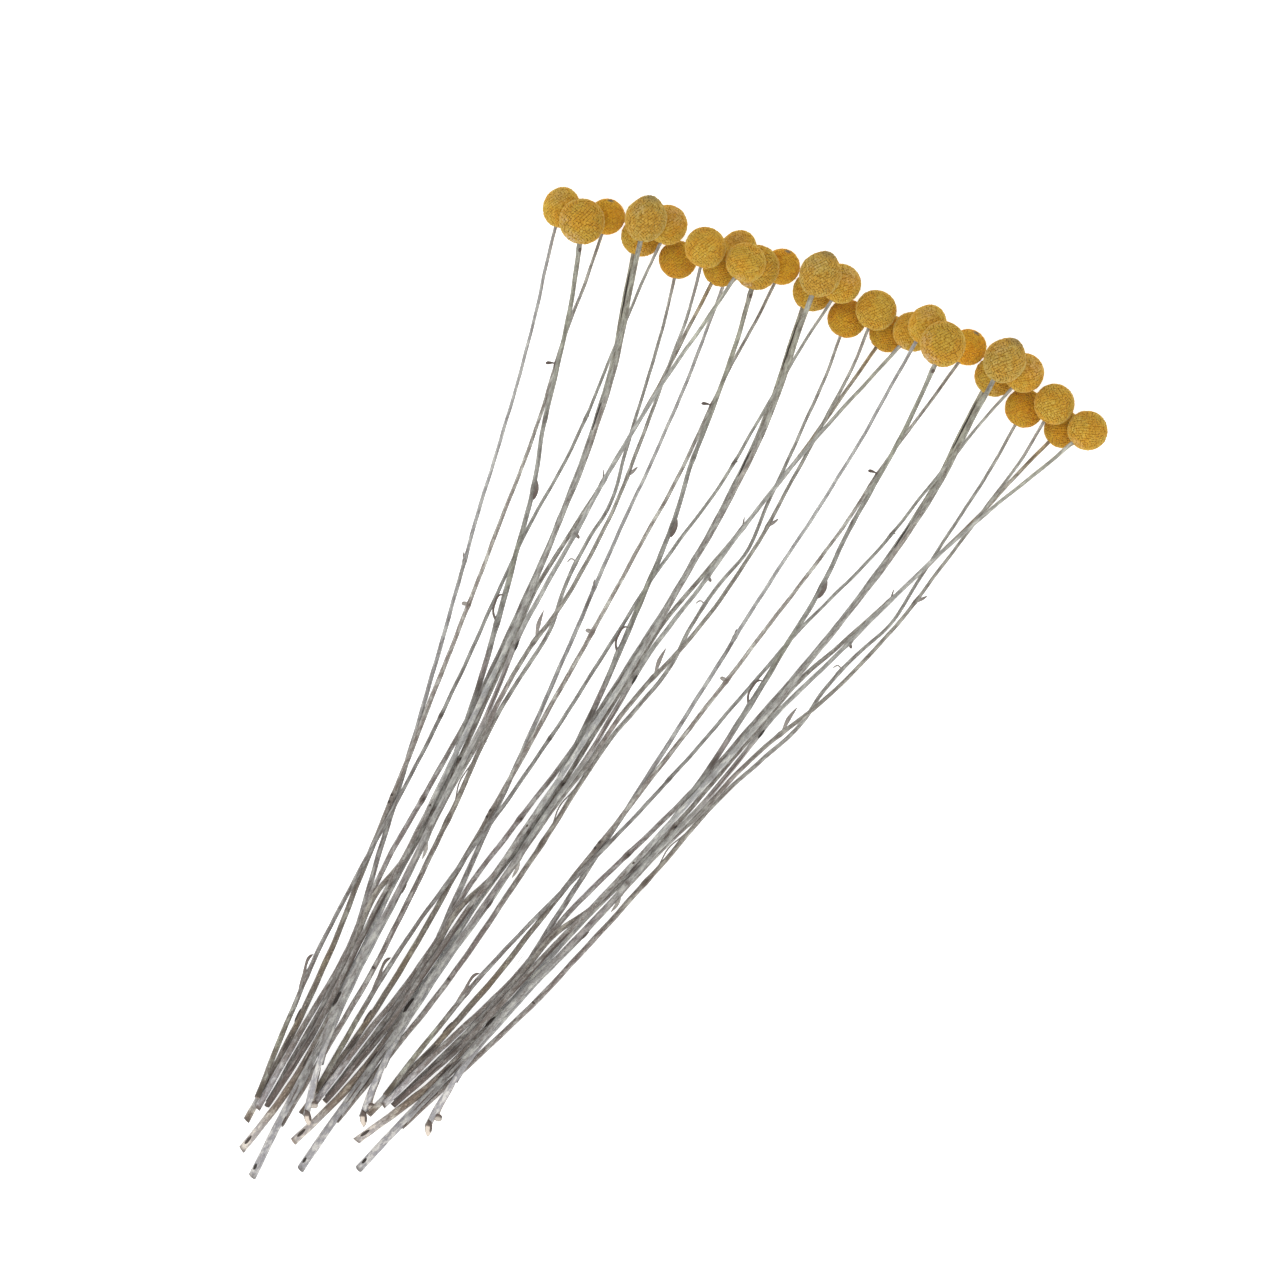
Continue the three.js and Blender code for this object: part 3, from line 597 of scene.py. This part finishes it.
WISP_LENGTHS = 15
WISP_TIP = 0.35  # how thick a hair is at its ends, as a share of its middle
ABOVE_GROUND = 0.04  # the lowest that anything comes to the ground, mm
BRACT_PALE = (0.50, 0.46, 0.42)
BRACT_GREY = (0.26, 0.245, 0.22)
BRACT_BROWN = (0.115, 0.088, 0.075)
# The black of scars and of the lines of painted shadow between stems
SCAR_AND_SHADOW_BLACK = (0.035, 0.03, 0.026)
BUD_CREAM = (0.68, 0.59, 0.5)

bract_paper, bract_shader, bract_start = new_material("bract_paper", 0.85)
bract_grain, bract_marks = bract_start.painted("grain", 1), bract_start.painted("marks")
bract_veins = bract_start.noise(bract_grain.stretched((4.0, 4.0, 0.5)), scale=2.0)
bract_blotch = bract_start.noise(bract_grain, scale=0.6, detail=4.0, roughness=0.7)
bract_burn = (bract_marks.channel(0) * 1.3 + bract_blotch * 0.7 - 0.45).clipped()
bract_colour = bract_veins.between(0.35, 0.65).mix(BRACT_GREY, BRACT_PALE)
bract_colour = bract_marks.channel(2).mix(bract_colour, BUD_CREAM)
bract_colour = bract_burn.mix(bract_colour, BRACT_BROWN)
bract_marks.channel(1).mix(bract_colour, SCAR_AND_SHADOW_BLACK).feed(bract_shader, "Base Color")
bract_veins.relief(0.6, 0.0002).feed(bract_shader, "Normal")

bract_rod = straight_rod(BRACT_SIDES, BRACT_LENGTHS, bract_paper)
bract_places = corners(bract_rod)
bract_share = np.clip(bract_places[:, 2], 0, 1)


def route_length(route):
    return sum((b - a).length for a, b in zip(route, route[1:]))


def spray_place(spray, x, y, height):
    """A point of the bunch in metres, from mm across and along its spray and its height in metres."""
    turn, shift_x, shift_y = SPRAYS[spray]
    turn = math.radians(turn)
    across = x - SPRAY_LINE
    return Vector((
        (MEETING_POINT[0] + shift_x + across * math.cos(turn) + y * math.sin(turn)) * MM,
        (MEETING_POINT[1] + shift_y + y * math.cos(turn) - across * math.sin(turn)) * MM,
        height,
    ))


def stem_middle(key, station):
    """The middle of a stem at a place along its spray, in metres."""
    stations, middles, _ = stem_lines[key]
    return Vector([float(np.interp(station, stations, [m[i] for m in middles])) for i in range(3)])


def bract_route(key, root, points, extra=0.0):
    """The places of a bract from the middle of its stem out to the tip, in metres."""
    route = [stem_middle(key, root)]
    for x, y, lift in points:
        route.append(spray_place(key[0], x, y, stem_middle(key, y).z + lift * MM + extra))
    return route


def solid_lift(key, points):
    """How much higher than its own lift a bract lies in the stem's solid, so as to clear its neighbours."""
    x, y, lift = points[-1]
    tip = spray_place(key[0], x, y, 0)
    best = min(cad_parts["stem_" + key].data.vertices, key=lambda v: (v.co.xy - tip.xy).length)
    return best.co.z - stem_middle(key, y).z - lift * MM


def add_bract(route, halves, thick, burnt, name):
    """A bract along a route: thin ones are cupped leaves, thick ones plump stubs or curled spurs."""
    bract = twin(bract_rod, name)
    width = np.interp(bract_share, np.linspace(0, 1, len(halves)), halves) * MM
    into_tip = np.clip((bract_share - ROUND_TIP) / (1 - ROUND_TIP), 0, 1)
    width *= np.sqrt(np.clip(1 - into_tip**2, 0.02, 1))
    half_thick = np.minimum(width, thick * MM)
    crimp = CRIMP * thick * MM * np.sin(bract_share * 19 + 3 * bract_places[:, 0])
    cup = CUP * (width - half_thick) * bract_places[:, 0] ** 2
    move_corners(bract, np.stack([
        bract_places[:, 0] * width,
        bract_places[:, 1] * half_thick + cup + crimp,
        bract_share * route_length(route),
    ], -1))
    shift = 31.0 * len(name) + 7.0 * route[0].x / MM  # so that each bract shows its own stretch of grain
    paint(bract, "grain", corners(bract) / MM + shift)
    none, full = np.zeros_like(bract_share), np.ones_like(bract_share)
    brown, cream = burnt + 0.35 * bract_share - 0.15, none
    if burnt < 0:  # a plump cream bud with a brown rim and a brown root
        brown = np.where((np.abs(bract_places[:, 0]) > 0.9) | (bract_share < 0.36), 0.8, 0.0)
        cream = np.where(bract_share < 0.9, -burnt, 0.2)
    paint(bract, "marks", np.clip(np.stack([brown, none, cream, full], -1), 0, 1))
    bend_along(bract, route)
    return bract


def add_scar_or_shadow_line(key, x, y, half_width, half_length, black, name):
    """A low oval scar, or a dark line of painted shadow between stems, on the upper side of a stem, running
    along it.
    """
    stations, _, radii = stem_lines[key]
    knot = twin(bract_rod, name)
    oval = np.sqrt(np.clip(1 - (2 * bract_share - 1) ** 2, 0.01, 1))
    swollen = sum(height * hump(y, place, half) for place, height, half in SWELLINGS[key[1]])
    radius = float(np.interp(y, stations, radii)) + (FELT_DEPTH + SCAR_OR_SHADOW_SWOLLEN * swollen) * MM
    aside = spray_place(key[0], x, y, 0) - stem_middle(key, y)
    aside.z = math.sqrt(max(radius**2 - aside.xy.length_squared, 0.3 * radius**2)) - SCAR_OR_SHADOW_SINK * MM
    ends = [stem_middle(key, y + step * half_length) + aside for step in (-1, 0, 1)]
    move_corners(knot, np.stack([
        bract_places[:, 0] * oval * half_width * MM,
        bract_places[:, 1] * oval * SCAR_OR_SHADOW_RISE * MM,
        bract_share * route_length(ends),
    ], -1))
    paint(knot, "grain", corners(knot) / MM + 13.0 * x)
    paint(knot, "marks", np.tile([1.0, black, 0.0, 1.0], (len(bract_share), 1)))
    bend_along(knot, ends)
    return knot


def add_wisp(route, name):
    """A loose hair: a thin rod drawn out along a route, fine at both ends."""
    bpy.ops.object.select_all(action="DESELECT")
    bpy.ops.mesh.primitive_cylinder_add(vertices=5, radius=WISP_THICK * MM, depth=1.0, location=(0, 0, 0.5))
    hair = bpy.context.object
    hair.name = name
    bpy.ops.object.transform_apply(location=True, rotation=True, scale=True)
    bpy.ops.object.mode_set(mode="EDIT")
    bpy.ops.mesh.select_all(action="DESELECT")
    shape = bmesh.from_edit_mesh(hair.data)
    for edge in shape.edges:
        edge.select_set(abs(edge.verts[0].co.z - edge.verts[1].co.z) > 0.5)
    bmesh.update_edit_mesh(hair.data)
    bpy.ops.mesh.subdivide(number_cuts=WISP_LENGTHS - 1)
    bpy.ops.object.mode_set(mode="OBJECT")
    bpy.ops.object.shade_smooth()
    places = corners(hair)
    places[:, :2] *= WISP_TIP + (1 - WISP_TIP) * np.sin(math.pi * np.clip(places[:, 2:], 0.05, 0.95))
    places[:, 2] *= route_length(route)
    move_corners(hair, places)
    hair.data.materials.append(bract_paper)
    paint(hair, "grain", places / MM)
    paint(hair, "marks", np.tile([0.0, 0.0, 0.0, 1.0], (len(places), 1)))
    bend_along(hair, route)
    return hair


def lay_down(piece):
    """Presses a piece flat where it would reach below the ground."""
    places = corners(piece)
    places[:, 2] = np.maximum(places[:, 2], ABOVE_GROUND * MM)
    move_corners(piece, places)


grown = {key: [] for key in stems}
for spray in SPRAYS:
    for number, (letter, root, points, *shape) in enumerate(BRACTS):
        key = spray + letter
        route = bract_route(key, root, points, solid_lift(key, points))
        grown[key].append(add_bract(route, *shape, f"bract_{key}_{number}"))
    for number, (letter, root, points, *shape) in enumerate(SMALL_BRACTS):
        key = spray + letter
        route = bract_route(key, root, points)
        grown[key].append(add_bract(route, *shape, f"small_bract_{key}_{number}"))
    # Scars, and dark lines of painted shadow between stems
    for number, (letter, *knot) in enumerate(SCARS_AND_SHADOW_LINES):
        key = spray + letter
        grown[key].append(add_scar_or_shadow_line(key, *knot, f"knot_{key}_{number}"))
    for number, (letter, points) in enumerate(WISPS):
        key = spray + letter
        route = [spray_place(spray, x, y, stem_middle(key, y).z + lift * MM) for x, y, lift in points]
        grown[key].append(add_wisp(route, f"wisp_{key}_{number}"))
bpy.data.objects.remove(bract_rod)

for key, stem in stems.items():
    only(stem, *grown[key])
    bpy.ops.object.join()
    lay_down(stem)
    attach(stem, "root")
    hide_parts("stem_" + key)
    "stem_brown" if key[1] in BROWN_STEMS else "stem_grey"

# Flower heads: each a ball of hundreds of tiny tube florets packed tight in spirals round a small woody core,
# dried to mustard, ochre or olive, with painted shade darkening the furrows between the florets. The stem
# grows into the base, and heads that lie on the ground are pressed flat there.

FLORETS = 820  # round each head
CORE_REACH = 0.93  # radius of the woody core; this and the next nine are for a head of radius 1
FLORET_FLARE = 0.069  # radius of a floret's tube where it is widest
FLORET_FOOT = 0.9  # how far out the tube starts
FLORET_LIP = 0.975  # how far out it draws in towards its end at 1
FLORET_HOLLOW = 0.03
FLORET_SIZES = (0.88, 1.1)  # how thin and how thick a floret may be, next to the one they are copied from
FLORET_ENDS = (0.978, 1.0)  # how far out a floret ends
FLORET_SCATTER = 0.014  # how far florets stray from their spiral
STEM_SEAT = -0.985  # no floret grows lower than this, where the stem enters
LUMP_HEIGHT = 0.006  # of the gentle lumps of a head
FOOT_NARROWS = 0.62  # width of the tube's foot, as a share of its flare
LIP_NARROWS = 0.6  # width of its end
LUMPS = 6
CROWN_START = 0.3  # where a head starts to taper towards its crown, up its axis
HEAD_TOP = 0.99  # how far a head's top stands above its middle, as a share of its radius
HEAD_SIZES = {  # radius across and along the head's axis, mm
    "a": (10.2, 11.3),
    "b": (12.4, 12.4),
    "c": (9.9, 9.9),
    "d": (11.0, 10.9),
    "e": (11.3, 12.9),
    "f": (10.9, 10.9),
    "g": (10.5, 10.5),
    "h": (11.1, 11.1),
    "i": (10.3, 10.3),
    "j": (10.9, 10.8),
}
CROWN_TAPER = {"a": 0.05, "e": 0.2, "j": 0.03}  # how much narrower the crown of a head is
# A patch: its head, its middle across, along and up on a ball of radius 1, its reach, then how pale, green
# and dark it is
HEAD_PATCHES = [
    ("b", (-0.1, -0.93, 0.35), 0.55, (0.9, 0.0, 0.0)),
    ("b", (-0.75, -0.3, 0.6), 0.4, (0.4, 0.1, 0.0)),
    ("c", (-0.13, 0.9, 0.4), 0.2, (0.0, 0.0, 1.0)),
    ("e", (-0.15, 0.97, 0.2), 0.45, (0.1, 0.9, 0.1)),
    ("e", (-0.5, 0.3, 0.8), 0.4, (0.25, 0.1, 0.0)),
    ("a", (-0.4, 0.5, 0.7), 0.6, (0.2, 0.3, 0.0)),
    ("f", (0.2, 0.6, 0.7), 0.7, (0.35, 0.15, 0.0)),
    ("j", (0.0, -0.9, 0.4), 0.4, (0.5, 0.0, 0.0)),
    ("d", (0.4, -0.6, 0.6), 0.4, (0.2, 0.0, 0.0)),
]
HEAD_LIGHT = {  # how light a head is, where that isn't 1; c is painted lighter against the shade of the heads over it
    "a": 1.06, "b": 0.94, "c": 1.18, "d": 0.97, "e": 0.94, "f": 1.06, "h": 0.99, "i": 0.94,
}
SLOT_OF_HEAD = {"c": "ochre", "g": "ochre", "i": "ochre", "e": "olive"}  # the others are mustard
FLORET_COLOURS = {  # painted shade of the furrows, deep, middle and lip
    "mustard": ((0.40, 0.185, 0.010), (0.55, 0.285, 0.014), (0.65, 0.375, 0.026), (0.74, 0.48, 0.07)),
    "ochre": ((0.40, 0.168, 0.007), (0.55, 0.252, 0.008), (0.64, 0.33, 0.011), (0.73, 0.43, 0.028)),
    "olive": ((0.33, 0.160, 0.012), (0.49, 0.270, 0.022), (0.62, 0.375, 0.042), (0.73, 0.51, 0.12)),
}
BLUSH_WARM = (1.0, 0.91, 0.7)
BLUSH_COOL = (0.95, 1.02, 1.25)
FADED_PALE = (0.72, 0.50, 0.26)
FADED_GREEN = (0.30, 0.235, 0.085)
# The colour a patch's dark share turns a head towards
HEAD_DARK_PATCH = (0.10, 0.105, 0.095)


def floret_material(name, furrow_shade, deep, middle, lip):
    """Velvety dry florets: painted shade in the furrows, paler at the lips, each floret a little different.
    """
    made, shader, start = new_material(name, 0.95)
    shader.inputs["Sheen Weight"].default_value = 0.5
    shader.inputs["Sheen Roughness"].default_value = 0.3
    shader.inputs["Sheen Tint"].default_value = (0.98, 0.95, 0.5, 1)
    where, floret = start.coordinates(), start.painted("floret")
    patch, light = start.painted("patch"), start.painted("patch", 3)
    lot, height = floret.channel(0), floret.channel(1)
    pale, green, dark = patch.channel(0), patch.channel(1), patch.channel(2)
    clouds = start.noise(where, scale=160.0, detail=4.0)
    blush = start.noise(where, scale=95.0)
    grains = start.noise(where, scale=2400.0)
    colour = (lot * 0.4 + clouds * 1.7 + grains * 0.2 - 0.68).clipped().mix(deep, middle)
    colour = ((height - 0.72) * 2.4 * (0.35 + lot * 0.65)).clipped().mix(colour, lip)
    colour = (lot.between(0.86, 0.97) * 0.5).mix(colour, lip)
    colour = ((1 - lot.between(0.02, 0.12)) * 0.7).mix(colour, deep)
    colour = colour.times(blush.between(0.4, 0.6).mix(BLUSH_WARM, BLUSH_COOL))
    colour = (green * (0.45 + clouds * 0.5)).clipped().mix(colour, FADED_GREEN)
    colour = (pale * (lot * 1.1 + grains * 0.5 - 0.25)).clipped().mix(colour, FADED_PALE)
    # Painted shade: each floret darkens towards its foot, deep in the furrows between florets
    colour = ((1 - height.between(0.2, 0.8)) * 0.5).mix(colour, furrow_shade)
    colour = dark.clipped().mix(colour, HEAD_DARK_PATCH)
    colour.times(light).feed(shader, "Base Color")
    start.noise(where, scale=5200.0).relief(0.35, 0.00015).feed(shader, "Normal")
    return made


floret_materials = {
    kind: floret_material("florets_" + kind, *colours) for kind, colours in FLORET_COLOURS.items()
}


def pick_faces(piece, test):
    """In edit mode, selects just the faces whose middle passes the test."""
    bpy.ops.mesh.select_mode(type="FACE")
    bpy.ops.mesh.select_all(action="DESELECT")
    shape = bmesh.from_edit_mesh(piece.data)
    for face in shape.faces:
        face.select_set(test(face.calc_center_median()))
    bmesh.update_edit_mesh(piece.data)


# One floret: a small five-sided tube, narrow at the foot, flared, drawn in at the lip and hollow inside
bpy.ops.object.select_all(action="DESELECT")
bpy.ops.mesh.primitive_cylinder_add(
    vertices=5, radius=FLORET_FLARE, depth=FLORET_LIP - FLORET_FOOT, end_fill_type="NGON",
    location=(0, 0, (FLORET_LIP + FLORET_FOOT) / 2),
)
bud = bpy.context.object
bpy.ops.object.transform_apply(location=True, rotation=True, scale=True)
bpy.ops.object.mode_set(mode="EDIT")
pick_faces(bud, lambda middle: middle.z < FLORET_FOOT + 1e-4)
bpy.ops.transform.resize(value=(FOOT_NARROWS, FOOT_NARROWS, 1), center_override=(0, 0, FLORET_FOOT))
pick_faces(bud, lambda middle: middle.z > FLORET_LIP - 1e-4)
bpy.ops.mesh.extrude_region_move(TRANSFORM_OT_translate={"value": (0, 0, 1 - FLORET_LIP)})
bpy.ops.transform.resize(value=(LIP_NARROWS, LIP_NARROWS, 1), center_override=(0, 0, 1))
bpy.ops.mesh.poke(offset=-FLORET_HOLLOW)
bpy.ops.object.mode_set(mode="OBJECT")
bpy.ops.object.shade_smooth()
bud_places = corners(bud)
bud_height = np.clip((np.linalg.norm(bud_places, axis=1) - FLORET_FOOT) / (1 - FLORET_FOOT), 0, 1)
bud_height[np.hypot(bud_places[:, 0], bud_places[:, 1]) < 1e-3] = 0.55  # the hollow is in half shade


def floret_ball(name, seed):
    """A ball of florets of radius 1, its base at -Z, joined to its core."""
    dice = random.Random(seed)
    only(bud)
    bpy.ops.mesh.primitive_ico_sphere_add(subdivisions=3, radius=CORE_REACH, location=(0, 0, 0))
    ball = bpy.context.object
    ball.name = name
    bpy.ops.object.shade_smooth()
    # The core lies deep in the furrows and takes their painted shade
    paint(ball, "floret", np.tile([0.3, 0.1, 0.0, 1.0], (len(ball.data.vertices), 1)))
    buds = []
    for i in range(FLORETS):
        z = 1 - (2 * i + 1) / FLORETS
        turn = i * math.pi * (3 - math.sqrt(5)) + seed
        across = math.sqrt(1 - z * z)
        way = Vector((across * math.cos(turn), across * math.sin(turn), z))
        way += Vector((dice.gauss(0, 1), dice.gauss(0, 1), dice.gauss(0, 1))) * FLORET_SCATTER
        way.normalize()
        if way.z < STEM_SEAT:
            continue
        piece = twin(bud, f"{name}_{i}")
        size = dice.uniform(*FLORET_SIZES)
        piece.matrix_world = (
            way.to_track_quat("Z", "Y").to_matrix().to_4x4()
            @ Matrix.Rotation(dice.uniform(0, 6.3), 4, "Z")
            @ Matrix.Diagonal((size, size, dice.uniform(*FLORET_ENDS), 1))
        )
        lot = dice.random()
        paint(piece, "floret", np.array([[lot, height, (z + 1) / 2, 1] for height in bud_height]))
        buds.append(piece)
    only(ball, *buds)
    bpy.ops.object.join()
    return ball


balls = [floret_ball("floret_ball_1", 1), floret_ball("floret_ball_2", 2)]
bpy.data.objects.remove(bud)
ball_places = [corners(ball) for ball in balls]

for spray in SPRAYS:
    for number, letter in enumerate(LETTERS):
        key = spray + letter
        dice = random.Random("head " + key)
        kind = (number + int(spray)) % 2
        head = twin(balls[kind], "floret_head_" + key)
        head.data.materials.clear()
        slot = SLOT_OF_HEAD.get(letter, "mustard")
        head.data.materials.append(floret_materials[slot])

        low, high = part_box("head_" + key)
        across, long = [size * MM for size in HEAD_SIZES[letter]]
        middle = Vector(((low.x + high.x) / 2, (low.y + high.y) / 2, high.z - across * HEAD_TOP))
        neck = stem_lines[key][1][-1]
        forward = Vector((middle.x - neck.x, middle.y - neck.y, 0)).normalized()
        places = ball_places[kind] @ np.array(Matrix.Rotation(dice.uniform(0, 6.3), 3, "Z")).T
        growth = np.ones(len(places))
        for _ in range(LUMPS):
            way = np.array([dice.gauss(0, 1) for _ in range(3)])
            growth += LUMP_HEIGHT * np.sin(places @ way * 1.6 + dice.uniform(0, 6))
        crown = np.clip((places[:, 2] - CROWN_START) / (1 - CROWN_START), 0, 1)
        narrow = 1 - CROWN_TAPER.get(letter, 0.0) * crown
        sizes = np.stack([across * narrow, across * narrow, np.full_like(narrow, long)], -1)
        places *= growth[:, None] * sizes
        places = places @ np.array(forward.to_track_quat("Z", "Y").to_matrix()).T

        # Patches are placed as seen along the spray, whichever way the head points
        turn = math.radians(SPRAYS[spray][0])
        on_ball = places / np.linalg.norm(places, axis=1)[:, None]
        in_spray = np.stack([
            on_ball[:, 0] * math.cos(turn) - on_ball[:, 1] * math.sin(turn),
            on_ball[:, 0] * math.sin(turn) + on_ball[:, 1] * math.cos(turn),
            on_ball[:, 2],
        ], -1)
        tones = np.zeros((len(places), 4))
        tones[:, 3] = HEAD_LIGHT.get(letter, 1.0)
        for owner, centre, reach, amounts in HEAD_PATCHES:
            if owner == letter:
                away = np.linalg.norm(in_spray - np.array(Vector(centre).normalized()), axis=1)
                weight = np.clip(1.25 - away / reach, 0, 1)
                tones[:, :3] = np.maximum(tones[:, :3], weight[:, None] * np.array(amounts))
        paint(head, "patch", tones)
        move_corners(head, places + np.array(middle))
        lay_down(head)
        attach(head, "root")
        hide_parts("head_" + key)
for ball in balls:
    bpy.data.objects.remove(ball)

# Ground and light: the bunch lies on a plain matt white surface under broad soft light, most of it from the
# side of the feet, with an even pale surround. The ground also glows a little, painted light that washes out
# the shadows the bunch casts on it.

GROUND_WHITE = (0.96, 0.96, 0.955)
GROUND_SHADE = (0.93, 0.93, 0.93)
GROUND_GLOW = 0.6
SURROUND_STRENGTH = 0.78

bpy.ops.object.select_all(action="DESELECT")
bpy.ops.mesh.primitive_plane_add(size=6.0, location=(0, 0, 0))
ground = bpy.context.object
ground.name = "ground"
ground_paper, ground_shader, ground_start = new_material("ground_matt_white", 0.9)
ground_fleck = ground_start.noise(ground_start.coordinates(), scale=240.0)
ground_fleck.mix(GROUND_SHADE, GROUND_WHITE).feed(ground_shader, "Base Color")
# Painted light: the ground glows, so that the bunch's shadows on it wash out
ground_shader.inputs["Emission Color"].default_value = (1, 1, 1, 1)
ground_shader.inputs["Emission Strength"].default_value = GROUND_GLOW
ground.data.materials.append(ground_paper)

world = bpy.context.scene.world or bpy.data.worlds.new("surround")
bpy.context.scene.world = world
world.use_nodes = True
world.node_tree.nodes["Background"].inputs["Color"].default_value = (1, 1, 1, 1)
world.node_tree.nodes["Background"].inputs["Strength"].default_value = SURROUND_STRENGTH


def soft_light(name, place, aim, size, power):
    """A round light of this size in metres and power in watts, turned to face its aim."""
    bpy.ops.object.select_all(action="DESELECT")
    bpy.ops.object.light_add(type="AREA", location=place)
    light = bpy.context.object
    light.name = name
    light.data.shape = "DISK"
    light.data.size = size
    light.data.energy = power
    light.rotation_mode = "QUATERNION"
    light.rotation_quaternion = (Vector(aim) - Vector(place)).to_track_quat("-Z", "Y")


soft_light("key", (-0.1, -1.5, 2.0), (0, 0.05, 0), 2.4, 26)
soft_light("top", (0.3, 0.4, 2.6), (0, 0, 0), 2.6, 12)

# Camera: it looks straight down on the laid bunch from far off through a long lens, turned so that the fan
# leans to the right.

VIEW_MIDDLE = (1.72, 56.18)  # mm
VIEW_TURN = 30.184  # degrees
VIEW_SPAN = 686.4  # mm of the ground from one edge of the picture to the other
VIEW_LEVEL = 25  # height above the ground, in mm, at which that span is measured
LENS = 1500.0
SENSOR = 36.0
camera_height = VIEW_SPAN * MM * LENS / SENSOR + VIEW_LEVEL * MM
bpy.ops.object.select_all(action="DESELECT")
bpy.ops.object.camera_add(
    location=(VIEW_MIDDLE[0] * MM, VIEW_MIDDLE[1] * MM, camera_height),
    rotation=(0, 0, math.radians(VIEW_TURN)),
)
camera = bpy.context.object
camera.data.lens = LENS
camera.data.sensor_width = SENSOR
camera.data.clip_start = 1.0
camera.data.clip_end = 100.0
bpy.context.scene.camera = camera
bpy.context.scene.view_settings.view_transform = "Standard"
